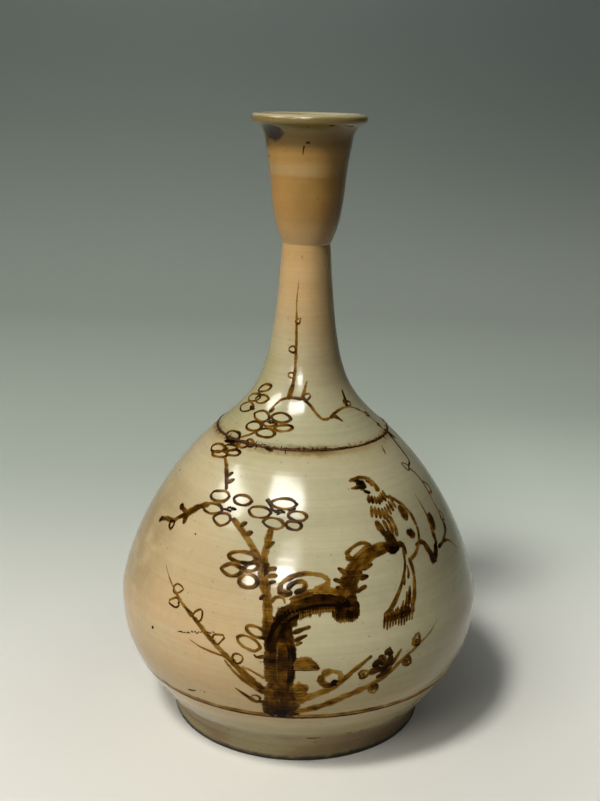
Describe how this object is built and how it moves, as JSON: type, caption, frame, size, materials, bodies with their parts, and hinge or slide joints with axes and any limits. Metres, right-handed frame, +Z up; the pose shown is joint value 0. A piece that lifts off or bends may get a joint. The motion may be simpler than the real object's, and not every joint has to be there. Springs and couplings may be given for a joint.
{
  "type": "bottle vase",
  "caption": "Hand-thrown stoneware bottle vase: pear-shaped body on a turned foot ring, slender neck and flared cup mouth with a rolled lip, for cut stems.",
  "frame": {"origin": "centre of the vase's standing face, on the surface that the foot ring rests on", "axes": "+Z up along the axis that the vase is thrown on, -Y towards the painted front, +X to the viewer's right"},
  "size_m": [0.192, 0.192, 0.32],
  "materials": {
    "bare_clay": "matte",
    "body_glaze": "gloss",
    "seam_slip": "matte",
    "neck_glaze": "gloss",
    "cup_glaze": "gloss",
    "iron_brown": "gloss"
  },
  "bodies": {
    "root": {"foot_ring": "bare_clay", "foot_lute": "bare_clay", "lower_body": "body_glaze", "shoulder_lute": "seam_slip", "shoulder_and_neck": "neck_glaze", "mouth_lute": "neck_glaze", "cup_mouth": "cup_glaze"}
  },
  "joints": []
}
